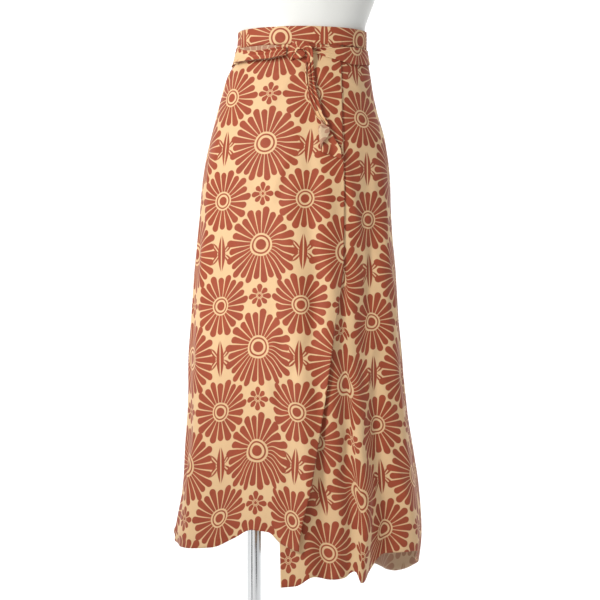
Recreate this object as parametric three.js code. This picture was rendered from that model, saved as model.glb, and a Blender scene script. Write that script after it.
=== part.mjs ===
// A printed wrap skirt (sarong) tied in a half bow, on a limbless dress form with a pole and a round base.
// Millimetres, +Z up, the floor at z = 0, the front of the skirt toward -Y.
// The cloth is laid out on a "skin" round the waist: a point has an angle, counted from the middle of the
// front toward +X, and a drop below the top of the waistband.
import * as THREE from 'three';
import { mergeVertices } from 'three/addons/utils/BufferGeometryUtils.js';

// ---------- driving sizes ----------
const WAIST_HEIGHT = 1290; // top of the waistband above the floor
const CLOTH = 1.5; // one layer of the skirt
const BAND = 1.8; // the strip folded double: waistband and ties
const SEAM_GAP = 0.3; // pieces that are sewn or seated stop this far from each other
const SEAM_HALF = 0.4; // each side of a side seam, so that the folds never let the two edges meet
const BAND_DEEP = 32; // waistband, from its top to its seam
const PANEL_TOP = BAND_DEEP + SEAM_GAP;
const LAYER_GAP = { waist: 0.5, hip: 1.4, hem: 2.6 }; // air between the two front layers
const BAND_STEP = BAND + 0.35; // from the outer waistband's face to the inner one's
const TIE_CLEAR = 1.05; // air under the tie
const EDGE_LIFT = 11; // how far the free front edge stands off the layer beneath, low down
const FOLDS_END = 950; // the drop where a fold stands out fully

const FORM_BOTTOM = 300; // the form's flat underside, below the waist
const POLE = { x: -87, y: 0, radius: 12.5 };
const SOCKET = { radius: 27, high: 16 };
const BASE = { radius: 195, thick: 9, bevel: 2.5 };
const NECK = { radius: 54, cap: 11, round: 4 };

const DEG = Math.PI / 180;
const RIGHT_SEAM = 90 * DEG;
const LEFT_SEAM = -90 * DEG;
const FULL_TURN = 2 * Math.PI;

// ---------- tables ----------
// Sections of the skirt: half widths to the viewer's left and right, half depths to the front and back.
const SKIRT_SECTIONS = [
  { drop: 0, left: 119, right: 119, front: 88, back: 88 },
  { drop: 32, left: 120, right: 119, front: 89, back: 89 },
  { drop: 52, left: 124, right: 122, front: 91, back: 92 },
  { drop: 80, left: 138, right: 127, front: 95, back: 98 },
  { drop: 112, left: 148, right: 132, front: 99, back: 105 },
  { drop: 150, left: 158, right: 141, front: 103, back: 112 },
  { drop: 195, left: 169, right: 154, front: 108, back: 119 },
  { drop: 250, left: 180, right: 162, front: 114, back: 123 },
  { drop: 340, left: 189, right: 166, front: 123, back: 128 },
  { drop: 450, left: 198, right: 175, front: 134, back: 138 },
  { drop: 580, left: 206, right: 184, front: 148, back: 152 },
  { drop: 700, left: 210, right: 197, front: 161, back: 165 },
  { drop: 820, left: 217, right: 215, front: 174, back: 178 },
  { drop: 900, left: 230, right: 221, front: 182, back: 188 },
  { drop: 1000, left: 236, right: 210, front: 188, back: 195 },
];

// The free edge of the upper front layer, and that of the layer beneath it, as distances from the middle.
const OVER_EDGE = [
  { drop: 0, x: 69 },
  { drop: 196, x: 72 },
  { drop: 310, x: 75 },
  { drop: 415, x: 74 },
  { drop: 536, x: 56 },
  { drop: 690, x: 34 },
  { drop: 793, x: 17 },
  { drop: 912, x: -5 },
];
const UNDER_EDGE = [
  { drop: 0, x: -58 },
  { drop: 300, x: -56 },
  { drop: 700, x: -46 },
  { drop: 980, x: -37 },
];

// How low each hem hangs. The angle is in degrees round the skirt.
const OVER_HEM = [
  { angle: -90, drop: 913 },
  { angle: -60, drop: 920 },
  { angle: -44, drop: 915 },
  { angle: -33, drop: 897 },
  { angle: -23, drop: 880 },
  { angle: -15, drop: 882 },
  { angle: -9, drop: 900 },
  { angle: 0, drop: 911 },
];
const UNDER_HEM = [
  { angle: -12, drop: 976 },
  { angle: -3, drop: 972 },
  { angle: 5, drop: 956 },
  { angle: 13, drop: 962 },
  { angle: 20, drop: 960 },
  { angle: 25, drop: 950 },
  { angle: 28, drop: 970 },
  { angle: 37, drop: 950 },
  { angle: 45, drop: 926 },
  { angle: 60, drop: 926 },
  { angle: 90, drop: 958 },
];
const BACK_HEM = [
  { angle: 90, drop: 958 },
  { angle: 120, drop: 990 },
  { angle: 150, drop: 984 },
  { angle: 185, drop: 935 },
  { angle: 215, drop: 912 },
  { angle: 245, drop: 906 },
  { angle: 270, drop: 913 },
];

// Soft folds that run down the skirt: angle at the waist and at the hem in degrees, the drop where each
// starts, how far it stands out of the skin at the hem (or into it), and how wide it is in degrees.
const FOLDS = [
  { waist: -82, hem: -79, start: 120, out: 6, wide: 6 },
  { waist: -64, hem: -62, start: 150, out: 9, wide: 9 },
  { waist: -38, hem: -33, start: 170, out: -15, wide: 13 },
  { waist: -8, hem: 3, start: 80, out: 15, wide: 8 },
  { waist: 3, hem: 10, start: 110, out: -9, wide: 5 },
  { waist: 13, hem: 17, start: 130, out: 9, wide: 6 },
  { waist: 25, hem: 24, start: 200, out: -8, wide: 5 },
  { waist: 38, hem: 28, start: 560, out: 15, wide: 5 },
  { waist: 48, hem: 40, start: 190, out: -16, wide: 9 },
  { waist: 66, hem: 62, start: 150, out: 12, wide: 9 },
  { waist: 86, hem: 84, start: 160, out: -6, wide: 7 },
  { waist: 104, hem: 101, start: 200, out: 7, wide: 8 },
  { waist: 126, hem: 122, start: 220, out: -12, wide: 10 },
  { waist: 148, hem: 145, start: 180, out: 14, wide: 9 },
  { waist: 170, hem: 168, start: 240, out: -11, wide: 9 },
  { waist: 190, hem: 191, start: 160, out: 13, wide: 9 },
  { waist: 212, hem: 214, start: 260, out: -12, wide: 10 },
  { waist: 234, hem: 238, start: 180, out: 12, wide: 9 },
  { waist: 254, hem: 258, start: 220, out: -7, wide: 8 },
];

// The tie goes once round below the waistband, and is drawn in toward the knot.
const TIE_ROUND = [
  { angle: -90, upper: 34, lower: 60 },
  { angle: -45, upper: 35, lower: 59 },
  { angle: -14, upper: 40, lower: 51 },
  { angle: 9, upper: 40, lower: 48 },
  { angle: 19, upper: 37, lower: 54 },
  { angle: 28, upper: 36, lower: 58 },
  { angle: 46, upper: 34, lower: 65 },
  { angle: 70, upper: 33, lower: 61 },
  { angle: 90, upper: 33, lower: 56 },
  { angle: 150, upper: 34, lower: 60 },
  { angle: 210, upper: 34, lower: 62 },
  { angle: 270, upper: 34, lower: 60 },
];

// The hanging tail: its middle line, its width, and how far its face stands out of the skin.
const TAIL = [
  { drop: 37, x: 12, wide: 8, out: 9 },
  { drop: 50, x: 13.1, wide: 10, out: 8.5 },
  { drop: 67, x: 12.5, wide: 15, out: 6.5 },
  { drop: 96, x: 14, wide: 16, out: 5.5 },
  { drop: 131, x: 21, wide: 16, out: 5.5 },
  { drop: 163, x: 30, wide: 14, out: 6.5 },
  { drop: 177, x: 39, wide: 12, out: 7.5 },
  { drop: 196, x: 46, wide: 26, out: 6.5 },
  { drop: 214, x: 49, wide: 36, out: 5.5 },
  { drop: 230, x: 50, wide: 30, out: 5 },
];

// The knot and the half bow.
const KNOT = { x: -8, drop: 46, wide: 33, high: 29, deep: 17 };
const LOOP = {
  near: -12, far: -63, inner: 3.5, outer: 12, upper: 32, lower: 58, neckUpper: 38, neckLower: 53,
};

// The dress form, by height above the waist (below it where negative).
const FORM_SECTIONS = [
  { rise: -300, side: 143, front: 92, back: 102, lean: -8 },
  { rise: -292, side: 149, front: 97, back: 107, lean: -8 },
  { rise: -200, side: 151, front: 99, back: 108, lean: -8 },
  { rise: -120, side: 133, front: 92, back: 97, lean: -6 },
  { rise: -60, side: 116.5, front: 85, back: 86, lean: -2 },
  { rise: -32, side: 114.3, front: 84, back: 84, lean: 0 },
  { rise: 0, side: 114.3, front: 83.2, back: 83.2, lean: 0 },
  { rise: 62, side: 128, front: 97, back: 92, lean: 5 },
  { rise: 130, side: 141, front: 111, back: 101, lean: 7 },
  { rise: 200, side: 148, front: 117, back: 105, lean: 8 },
  { rise: 270, side: 154, front: 106, back: 104, lean: 8 },
  { rise: 320, side: 155, front: 90, back: 97, lean: 8 },
  { rise: 352, side: 140, front: 76, back: 85, lean: 8 },
  { rise: 374, side: 104, front: 64, back: 70, lean: 8 },
  { rise: 390, side: 70, front: 57, back: 60, lean: 8 },
  { rise: 410, side: 56, front: 54, back: 55, lean: 8 },
  { rise: 440, side: 54, front: 54, back: 54, lean: 8 },
];

// ---------- reading the tables ----------
const clamp01 = (t) => Math.min(1, Math.max(0, t));
const mix = (a, b, t) => a + (b - a) * t;
const ease = (from, to, value) => {
  const t = clamp01((value - from) / (to - from));
  return t * t * (3 - 2 * t);
};

// Slope of a column at one row, level at a peak or a dip, so that a curve never swings past its rows.
function slopeAt(table, key, name, row) {
  if (row === 0 || row === table.length - 1) {
    return 0;
  }
  const [before, here, after] = [table[row - 1], table[row], table[row + 1]];
  const rise = (here[name] - before[name]) / (here[key] - before[key]);
  const next = (after[name] - here[name]) / (after[key] - here[key]);
  return rise * next <= 0 ? 0 : (2 * rise * next) / (rise + next);
}

// A named column of a table, read smoothly between its rows.
function read(table, key, name, at) {
  const last = table.length - 1;
  if (at <= table[0][key]) {
    return table[0][name];
  }
  if (at >= table[last][key]) {
    return table[last][name];
  }
  const row = table.findIndex((r) => r[key] > at) - 1;
  const span = table[row + 1][key] - table[row][key];
  const t = (at - table[row][key]) / span;
  const a = slopeAt(table, key, name, row) * span;
  const b = slopeAt(table, key, name, row + 1) * span;
  const start = table[row][name];
  const end = table[row + 1][name];
  const cubic = 2 * (start - end) + a + b;
  const square = 3 * (end - start) - 2 * a - b;
  return ((cubic * t + square) * t + a) * t + start;
}

// ---------- the skin that the cloth lies on ----------
// An angle brought to within half a turn of another one.
function near(angle, other) {
  return angle - FULL_TURN * Math.round((angle - other) / FULL_TURN);
}

function foldOut(angle, drop) {
  let out = 0;
  for (const fold of FOLDS) {
    const down = clamp01((drop - fold.start) / (FOLDS_END - fold.start));
    const line = mix(fold.waist, fold.hem, clamp01(drop / FOLDS_END)) * DEG;
    const away = (near(angle, line) - line) / (fold.wide * DEG);
    out += fold.out * down ** 0.9 * Math.exp(-away * away);
  }
  return out;
}

function skin(angle, drop, out = 0) {
  const side = Math.sin(angle);
  const ahead = Math.cos(angle);
  const wide = read(SKIRT_SECTIONS, 'drop', side > 0 ? 'right' : 'left', drop);
  const deep = read(SKIRT_SECTIONS, 'drop', ahead > 0 ? 'front' : 'back', drop);
  const facing = new THREE.Vector2(side / wide, -ahead / deep).normalize();
  const reach = out + foldOut(angle, drop);
  return new THREE.Vector3(
    wide * side + facing.x * reach,
    -deep * ahead + facing.y * reach,
    WAIST_HEIGHT - drop,
  );
}

// The angle on the front where the skin is this far from the middle.
function angleAt(x, drop) {
  const wide = read(SKIRT_SECTIONS, 'drop', x > 0 ? 'right' : 'left', drop);
  return Math.asin(x / wide);
}

// How far the inner layer lies below the outer one.
function layerStep(drop) {
  const upper = mix(LAYER_GAP.waist, LAYER_GAP.hip, ease(BAND_DEEP, 200, drop));
  return CLOTH + mix(upper, LAYER_GAP.hem, ease(200, 800, drop));
}

// The outer layer starts level with the back at the left seam and steps up over the inner layer.
function stepUp(angle) {
  return ease(-82 * DEG, -58 * DEG, angle);
}

// ---------- closed walls ----------
// Normals of a grid of points, from the neighbours of each.
function gridNormals(grid) {
  const lastRow = grid.length - 1;
  const lastColumn = grid[0].length - 1;
  return grid.map((row, i) => row.map((_, j) => {
    const along = grid[i][Math.min(j + 1, lastColumn)].clone().sub(grid[i][Math.max(j - 1, 0)]);
    const down = grid[Math.min(i + 1, lastRow)][j].clone().sub(grid[Math.max(i - 1, 0)][j]);
    return down.cross(along).normalize();
  }));
}

// A wall: the grid is its outer face, seen with columns running to the right and rows running down.
function wall(grid, thick) {
  const normals = gridNormals(grid);
  const inner = grid.map((row, i) => row.map((p, j) => p.clone().addScaledVector(normals[i][j], -thick)));
  const rows = grid.length;
  const columns = grid[0].length;
  const last = columns - 1;
  const points = [...grid.flat(), ...inner.flat()];
  const outerAt = (i, j) => i * columns + j;
  const innerAt = (i, j) => rows * columns + outerAt(i, j);
  const faces = [];
  const quad = (a, b, c, d) => faces.push(a, b, c, a, c, d);
  for (let i = 0; i < rows - 1; i += 1) {
    for (let j = 0; j < last; j += 1) {
      quad(outerAt(i, j), outerAt(i + 1, j), outerAt(i + 1, j + 1), outerAt(i, j + 1));
      quad(innerAt(i, j), innerAt(i, j + 1), innerAt(i + 1, j + 1), innerAt(i + 1, j));
    }
    quad(outerAt(i, 0), innerAt(i, 0), innerAt(i + 1, 0), outerAt(i + 1, 0));
    quad(outerAt(i + 1, last), innerAt(i + 1, last), innerAt(i, last), outerAt(i, last));
  }
  for (let j = 0; j < last; j += 1) {
    quad(outerAt(0, j + 1), innerAt(0, j + 1), innerAt(0, j), outerAt(0, j));
    quad(outerAt(rows - 1, j), innerAt(rows - 1, j), innerAt(rows - 1, j + 1), outerAt(rows - 1, j + 1));
  }
  return solidFrom(points, faces);
}

function solidFrom(points, faces) {
  const geometry = new THREE.BufferGeometry();
  const flat = points.flatMap((p) => p.toArray());
  geometry.setAttribute('position', new THREE.Float32BufferAttribute(flat, 3));
  geometry.setIndex(faces);
  geometry.computeVertexNormals();
  return geometry;
}

// A grid of points from a function of two numbers that run from 0 to 1.
function gridOf(rows, columns, place) {
  return Array.from({ length: rows + 1 }, (_, i) =>
    Array.from({ length: columns + 1 }, (__, j) => place(i / rows, j / columns)));
}

// ---------- the skirt panels ----------
const seamTurn = (drop) => SEAM_HALF / read(SKIRT_SECTIONS, 'drop', 'left', drop);
const degrees = (angle) => angle / DEG;

// Drops from the waistband down to a hem. The first rows are closer together, over the hip.
function dropAt(t, hem) {
  return mix(PANEL_TOP, hem, 0.3 * t + 0.7 * t * t);
}

function frontOver() {
  const place = (t, u) => {
    const rough = dropAt(t, 912);
    const start = LEFT_SEAM + seamTurn(rough);
    const end = angleAt(read(OVER_EDGE, 'drop', 'x', rough), rough);
    const angle = mix(start, end, u);
    const drop = dropAt(t, read(OVER_HEM, 'angle', 'drop', degrees(angle)));
    const edgeLift = EDGE_LIFT * ease(0.86, 1, u) * ease(420, 860, drop);
    const level = -layerStep(drop) * (1 - stepUp(angle)) + edgeLift;
    return skin(angle, drop, level);
  };
  return wall(gridOf(20, 30, place), CLOTH);
}

function frontUnder() {
  const place = (t, u) => {
    const rough = dropAt(t, 960);
    const start = angleAt(read(UNDER_EDGE, 'drop', 'x', rough), rough);
    const end = RIGHT_SEAM - seamTurn(rough);
    const angle = mix(start, end, u);
    const drop = dropAt(t, read(UNDER_HEM, 'angle', 'drop', degrees(angle)));
    return skin(angle, drop, -layerStep(drop));
  };
  return wall(gridOf(20, 30, place), CLOTH);
}

function skirtBack() {
  const place = (t, u) => {
    const rough = dropAt(t, 950);
    const start = RIGHT_SEAM + seamTurn(rough);
    const end = LEFT_SEAM + FULL_TURN - seamTurn(rough);
    const angle = mix(start, end, u);
    const drop = dropAt(t, read(BACK_HEM, 'angle', 'drop', degrees(angle)));
    return skin(angle, drop, -layerStep(drop));
  };
  return wall(gridOf(20, 40, place), CLOTH);
}

// ---------- the waistband ----------
function bandStretch(from, to, columns, levelAt) {
  const place = (t, u) => {
    const angle = mix(from, to, u);
    return skin(angle, BAND_DEEP * t, levelAt(angle));
  };
  return wall(gridOf(2, columns, place), BAND);
}

function waistbandOver() {
  const start = LEFT_SEAM + seamTurn(0);
  return bandStretch(start, 80 * DEG, 34, (angle) => -BAND_STEP * (1 - stepUp(angle)));
}

function waistbandUnder() {
  return bandStretch(angleAt(UNDER_EDGE[0].x, 0), RIGHT_SEAM - seamTurn(0), 26, () => -BAND_STEP);
}

function waistbandBack() {
  return bandStretch(RIGHT_SEAM + seamTurn(0), LEFT_SEAM + FULL_TURN - seamTurn(0), 40, () => -BAND_STEP);
}

// ---------- the tie, wound once round ----------
// The tie lies on the outer layer in front and sinks to the inner one past the side.
function tieLevel(angle) {
  const turn = near(angle, 0);
  const onFront = ease(-88 * DEG, -60 * DEG, turn) * (1 - ease(52 * DEG, 86 * DEG, turn));
  return mix(-BAND_STEP + 0.25, 0, onFront) + TIE_CLEAR + BAND;
}

function tieStretch(from, to, columns) {
  const place = (t, u) => {
    const angle = mix(from, to, u);
    const upper = read(TIE_ROUND, 'angle', 'upper', degrees(angle));
    const lower = read(TIE_ROUND, 'angle', 'lower', degrees(angle));
    return skin(angle, mix(upper, lower, t), tieLevel(angle));
  };
  return wall(gridOf(4, columns, place), BAND);
}

// The half bow: out along the waist, round, and back to the knot, with its opening up and down.
function loopStation(u) {
  const turn = 0.46;
  if (u < turn) {
    return { angle: mix(LOOP.near, LOOP.far, u / turn), out: LOOP.inner };
  }
  if (u > 1 - turn) {
    return { angle: mix(LOOP.far, LOOP.near, (u - 1 + turn) / turn), out: LOOP.outer };
  }
  const half = (LOOP.outer - LOOP.inner) / 2;
  const bend = ((u - turn) / (1 - 2 * turn)) * Math.PI;
  return { angle: LOOP.far - 2.2 * Math.sin(bend), out: LOOP.inner + half * (1 - Math.cos(bend)) };
}

function tieLoop() {
  const place = (t, u) => {
    const { angle, out } = loopStation(u);
    const open = ease(LOOP.near, LOOP.near - 16, angle);
    const upper = mix(LOOP.neckUpper, LOOP.upper, open);
    const lower = mix(LOOP.neckLower, LOOP.lower, open);
    return skin(angle * DEG, mix(upper, lower, t), out);
  };
  return wall(gridOf(2, 50, place), CLOTH);
}

// The knot: a rounded lump, flatter on the side that lies against the skirt.
function tieKnot() {
  const geometry = new THREE.SphereGeometry(1, 24, 14);
  geometry.deleteAttribute('normal');
  geometry.deleteAttribute('uv');
  const knot = mergeVertices(geometry, 1e-6);
  const place = knot.getAttribute('position');
  const middle = skin(angleAt(KNOT.x, KNOT.drop), KNOT.drop, SEAM_GAP);
  for (let i = 0; i < place.count; i += 1) {
    const ball = new THREE.Vector3().fromBufferAttribute(place, i);
    const squeeze = 1 - 0.14 * Math.cos(2.4 * ball.x);
    const depth = ball.y < 0 ? KNOT.deep * 0.72 : KNOT.deep * 0.28;
    place.setXYZ(
      i,
      middle.x + (ball.x * KNOT.wide) / 2,
      middle.y - KNOT.deep * 0.28 - SEAM_GAP + ball.y * depth,
      middle.z + (ball.z * KNOT.high * squeeze) / 2,
    );
  }
  knot.computeVertexNormals();
  return knot;
}

function tieTail() {
  const place = (t, u) => {
    const drop = mix(TAIL[0].drop, TAIL.at(-1).drop, t);
    const middle = read(TAIL, 'drop', 'x', drop);
    const half = read(TAIL, 'drop', 'wide', drop) / 2;
    const x = middle + mix(-half, half, u);
    return skin(angleAt(x, drop), drop, read(TAIL, 'drop', 'out', drop));
  };
  return wall(gridOf(24, 6, place), BAND);
}

// ---------- the dress form and its stand ----------
function formTorso() {
  const around = 44;
  const ring = (rise) => Array.from({ length: around }, (_, k) => {
    const angle = (k / around) * FULL_TURN;
    const side = read(FORM_SECTIONS, 'rise', 'side', rise);
    const deep = read(FORM_SECTIONS, 'rise', Math.cos(angle) > 0 ? 'front' : 'back', rise);
    const lean = read(FORM_SECTIONS, 'rise', 'lean', rise);
    return new THREE.Vector3(lean + side * Math.sin(angle), -deep * Math.cos(angle), WAIST_HEIGHT + rise);
  });
  const heights = [];
  FORM_SECTIONS.forEach((section, row) => {
    const next = FORM_SECTIONS[row + 1];
    const parts = next && next.rise - section.rise > 45 ? 3 : 1;
    const steps = next ? parts : 1;
    for (let k = 0; k < steps; k += 1) {
      heights.push(next ? mix(section.rise, next.rise, k / steps) : section.rise);
    }
  });
  const points = heights.flatMap(ring);
  const faces = [];
  for (let i = 0; i < heights.length - 1; i += 1) {
    for (let k = 0; k < around; k += 1) {
      const [a, b] = [i * around + k, i * around + ((k + 1) % around)];
      faces.push(a, b, b + around, a, b + around, a + around);
    }
  }
  const top = (heights.length - 1) * around;
  for (let k = 1; k < around - 1; k += 1) {
    faces.push(0, k + 1, k);
    faces.push(top, top + k, top + k + 1);
  }
  return solidFrom(points, faces);
}

// A turned piece: its profile is a list of radius and height pairs from the axis back to the axis.
function turned(profile, segments) {
  const geometry = new THREE.LatheGeometry(profile.map(([r, h]) => new THREE.Vector2(r, h)), segments);
  geometry.rotateX(Math.PI / 2);
  return geometry;
}

function neckCap() {
  const { radius, cap, round } = NECK;
  const profile = [[0, 0], [radius - 1, 0], [radius, 1]];
  for (let k = 0; k <= 4; k += 1) {
    const bend = (k / 4) * (Math.PI / 2);
    profile.push([radius - round + round * Math.cos(bend), cap - round + round * Math.sin(bend)]);
  }
  profile.push([radius * 0.5, cap + 3], [0, cap + 4.5]);
  return turned(profile, 44);
}

function basePlate() {
  const { radius, thick, bevel } = BASE;
  return turned([[0, 0], [radius, 0], [radius, thick - bevel], [radius - bevel, thick], [0, thick]], 72);
}

function tube(radius, high, bevel, segments) {
  return turned([[0, 0], [radius, 0], [radius, high - bevel], [radius - bevel, high], [0, high]], segments);
}

// ---------- the scene ----------
const white = new THREE.MeshStandardMaterial({ color: 0xf1f2ee, roughness: 0.32, metalness: 0 });
const chrome = new THREE.MeshStandardMaterial({ color: 0xc9ccce, roughness: 0.12, metalness: 1 });
const print = new THREE.MeshStandardMaterial({ color: 0xd9a67e, roughness: 0.8, metalness: 0 });
const tiePrint = new THREE.MeshStandardMaterial({ color: 0xc08660, roughness: 0.8, metalness: 0 });

const part = new THREE.Group();
function add(name, geometry, material, x = 0, y = 0, z = 0) {
  const mesh = new THREE.Mesh(geometry, material);
  mesh.name = name;
  mesh.position.set(x, y, z);
  part.add(mesh);
}

add('skirt_back', skirtBack(), print);
add('skirt_front_under', frontUnder(), print);
add('skirt_front_over', frontOver(), print);
add('waistband_back', waistbandBack(), print);
add('waistband_under', waistbandUnder(), print);
add('waistband_over', waistbandOver(), print);
add('tie_round_back', tieStretch(90.3 * DEG, 269.7 * DEG, 36), tiePrint);
add('tie_round_left', tieStretch(-90 * DEG, -12 * DEG, 18), tiePrint);
add('tie_round_right', tieStretch(6 * DEG, 90 * DEG, 20), tiePrint);
add('tie_knot', tieKnot(), tiePrint);
add('tie_loop', tieLoop(), tiePrint);
add('tie_tail', tieTail(), tiePrint);

const formUnderside = WAIST_HEIGHT - FORM_BOTTOM;
const poleFoot = BASE.thick + SEAM_GAP;
const neckTop = WAIST_HEIGHT + FORM_SECTIONS.at(-1).rise;
add('form_torso', formTorso(), white);
add('form_neck_cap', neckCap(), chrome, FORM_SECTIONS.at(-1).lean, 0, neckTop + SEAM_GAP);
add('form_socket', tube(SOCKET.radius, SOCKET.high, 2, 40), chrome, POLE.x, POLE.y,
  formUnderside - SEAM_GAP - SOCKET.high);
add('stand_pole', tube(POLE.radius, formUnderside - 2 * SEAM_GAP - SOCKET.high - poleFoot, 0.4, 40), chrome,
  POLE.x, POLE.y, poleFoot);
add('base_plate', basePlate(), chrome);

export default part;
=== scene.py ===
# %% [markdown]
# # A wrap skirt tied on a dress form
# This lesson builds a long printed wrap skirt, its waistband and ties, and the stand that carries it. The
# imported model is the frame: it says where the waist, the hem and the stand are. Everything here is in
# metres, +Z is up, the front of the skirt faces -Y, and the upper front layer comes from the -X side.

# %% Load the frame
import math

import bpy
import numpy as np
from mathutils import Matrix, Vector


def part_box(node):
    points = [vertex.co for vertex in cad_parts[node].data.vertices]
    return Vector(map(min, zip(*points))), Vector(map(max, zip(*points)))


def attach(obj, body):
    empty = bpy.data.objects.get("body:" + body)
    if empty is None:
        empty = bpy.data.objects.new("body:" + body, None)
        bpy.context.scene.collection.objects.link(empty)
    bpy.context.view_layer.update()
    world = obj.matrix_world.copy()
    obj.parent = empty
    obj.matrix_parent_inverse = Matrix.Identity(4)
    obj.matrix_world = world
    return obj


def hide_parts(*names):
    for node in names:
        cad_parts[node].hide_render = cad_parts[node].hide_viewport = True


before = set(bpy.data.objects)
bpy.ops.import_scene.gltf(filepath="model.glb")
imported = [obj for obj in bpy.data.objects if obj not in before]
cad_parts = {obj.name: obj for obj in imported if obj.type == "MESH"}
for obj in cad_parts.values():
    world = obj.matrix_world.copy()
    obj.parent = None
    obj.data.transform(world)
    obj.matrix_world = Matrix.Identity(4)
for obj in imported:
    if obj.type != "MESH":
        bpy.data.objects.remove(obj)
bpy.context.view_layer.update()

MM = 0.001
DEG = math.pi / 180
WAIST_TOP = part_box("waistband_back")[1].z
BAND_DEEP = WAIST_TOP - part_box("waistband_back")[0].z
print("waist at", round(WAIST_TOP, 4), "band", round(BAND_DEEP, 4), "nodes", len(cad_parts))

# %% [markdown]
# ## Camera, light and floor
# A skirt is judged by its hang, so the camera stands level, three metres off and a little below the waist.
# Its long lens keeps the sides upright. One large soft light on the left makes the folds read, and a dim
# world keeps the shaded side open. The backdrop is a white sweep: a floor that curves up into a wall, so
# that no line shows where they meet. Two dark cards give the polished metal something to reflect.

# %% Camera, light and floor
MIDDLE_X = -3.6 * MM
CAMERA_AWAY = 3.0
CAMERA_BELOW_WAIST = 0.484
LENS = 99
FLOOR_FRONT = -8.0
CARD_HIGH = 0.95


def place_camera():
    data = bpy.data.cameras.new("camera")
    data.lens = LENS
    data.sensor_width = 36
    camera = bpy.data.objects.new("camera", data)
    camera.location = (MIDDLE_X, -CAMERA_AWAY, WAIST_TOP - CAMERA_BELOW_WAIST)
    camera.rotation_euler = (math.pi / 2, 0, 0)
    bpy.context.scene.collection.objects.link(camera)
    bpy.context.scene.camera = camera
    return camera


def soft_light(name, at, toward, size, power, tint):
    data = bpy.data.lights.new(name, "AREA")
    data.shape = "RECTANGLE"
    data.size, data.size_y = size
    data.energy = power
    data.color = tint
    light = bpy.data.objects.new(name, data)
    light.location = at
    light.rotation_euler = (Vector(toward) - Vector(at)).to_track_quat("-Z", "Y").to_euler()
    bpy.context.scene.collection.objects.link(light)
    return light


def light_room():
    soft_light("key_window", (-2.0, -2.6, 1.9), (0, 0, 0.95), (0.7, 1.3), 88, (1.0, 0.985, 0.96))
    soft_light("wall_wash", (0, 1.0, 4.2), (0, 3.2, 1.0), (3.6, 0.8), 150, (1.0, 1.0, 1.0))
    world = bpy.data.worlds.new("pale_room")
    world.use_nodes = True
    sky = world.node_tree.nodes["Background"]
    sky.inputs["Color"].default_value = (0.93, 0.93, 0.935, 1)
    sky.inputs["Strength"].default_value = 0.46
    bpy.context.scene.world = world
    bpy.context.scene.view_settings.view_transform = "Standard"


def staged(name, points, faces, colour, rough):
    mesh = bpy.data.meshes.new(name)
    mesh.from_pydata(points, [], faces)
    paint = bpy.data.materials.new(name + "_paint")
    paint.use_nodes = True
    shader = paint.node_tree.nodes["Principled BSDF"]
    shader.inputs["Base Color"].default_value = (colour, colour, colour, 1)
    shader.inputs["Roughness"].default_value = rough
    mesh.materials.append(paint)
    mesh.polygons.foreach_set("use_smooth", [True] * len(mesh.polygons))
    piece = bpy.data.objects.new(name, mesh)
    bpy.context.scene.collection.objects.link(piece)
    return piece


def hang_backdrop(half_wide=7.0, wall_at=3.2, curve=1.2, high=6.0, steps=24):
    turns = [k / steps * math.pi / 2 for k in range(steps + 1)]
    bend = [(wall_at - curve + curve * math.sin(a), curve - curve * math.cos(a)) for a in turns]
    line = [(FLOOR_FRONT, 0.0), *bend, (wall_at, high)]
    points = [(x, y, z) for y, z in line for x in (-half_wide, half_wide)]
    faces = [(2 * k, 2 * k + 1, 2 * k + 3, 2 * k + 2) for k in range(len(line) - 1)]
    return staged("white_sweep", points, faces, 0.86, 0.9)


def stand_cards():
    """Dark boards out of the camera's sight, seen only in the chrome."""
    for name, x in (("dark_card_left", -0.75), ("dark_card_right", 0.62)):
        near, far = (x, -1.3), (x * 1.35, -0.9)
        points = [(*near, 0.0), (*far, 0.0), (*far, CARD_HIGH), (*near, CARD_HIGH)]
        card = staged(name, points, [(0, 1, 2, 3)], 0.02, 0.9)
        card.visible_camera = False


place_camera()
light_room()
hang_backdrop()
stand_cards()
print("camera", CAMERA_AWAY, "m away, lens", LENS, "mm")

# %% [markdown]
# ## Reading short tables
# A dressmaker marks a few measures and lets a curved rule join them. The helper below does the same: it
# reads a named column of a short table with a smooth curve that never swings past its rows. It works on
# whole NumPy arrays at once, which keeps thousands of cloth points quick.

# %% Reading short tables


def ease(start, end, value):
    t = np.clip((np.asarray(value, float) - start) / (end - start), 0, 1)
    return t * t * (3 - 2 * t)


def read(table, key, column, at):
    keys = np.array([row[key] for row in table], float)
    values = np.array([row[column] for row in table], float)
    secants = np.diff(values) / np.diff(keys)
    slopes = np.zeros(len(keys))
    for k in range(1, len(keys) - 1):
        a, b = secants[k - 1], secants[k]
        slopes[k] = 0 if a * b <= 0 else 2 * a * b / (a + b)
    at = np.clip(np.asarray(at, float), keys[0], keys[-1])
    row = np.clip(np.searchsorted(keys, at, side="right") - 1, 0, len(keys) - 2)
    span = keys[row + 1] - keys[row]
    t = (at - keys[row]) / span
    start, end = values[row], values[row + 1]
    a, b = slopes[row] * span, slopes[row + 1] * span
    return ((2 * (start - end) + a + b) * t + 3 * (end - start) - 2 * a - b) * t * t + a * t + start


def rows_of(names, lines):
    return [dict(zip(names.split(), line)) for line in lines]


print("halfway between 0 and 10:", float(read(rows_of("x y", [(0, 0), (1, 10)]), "x", "y", 0.5)))

# %% [markdown]
# ## The skin of the skirt
# A wrap skirt hangs from the waist as one wide cone, so every piece of cloth is placed on one "skin". A
# point on it has an angle round the body, counted from the middle of the front, and a drop below the top of
# the waistband, in millimetres. Sections give the cone's half widths and depths. Each soft fold is a ridge
# or a trough that starts below the waist and grows toward the hem. Pieces on the same skin keep clear of
# each other.

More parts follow.
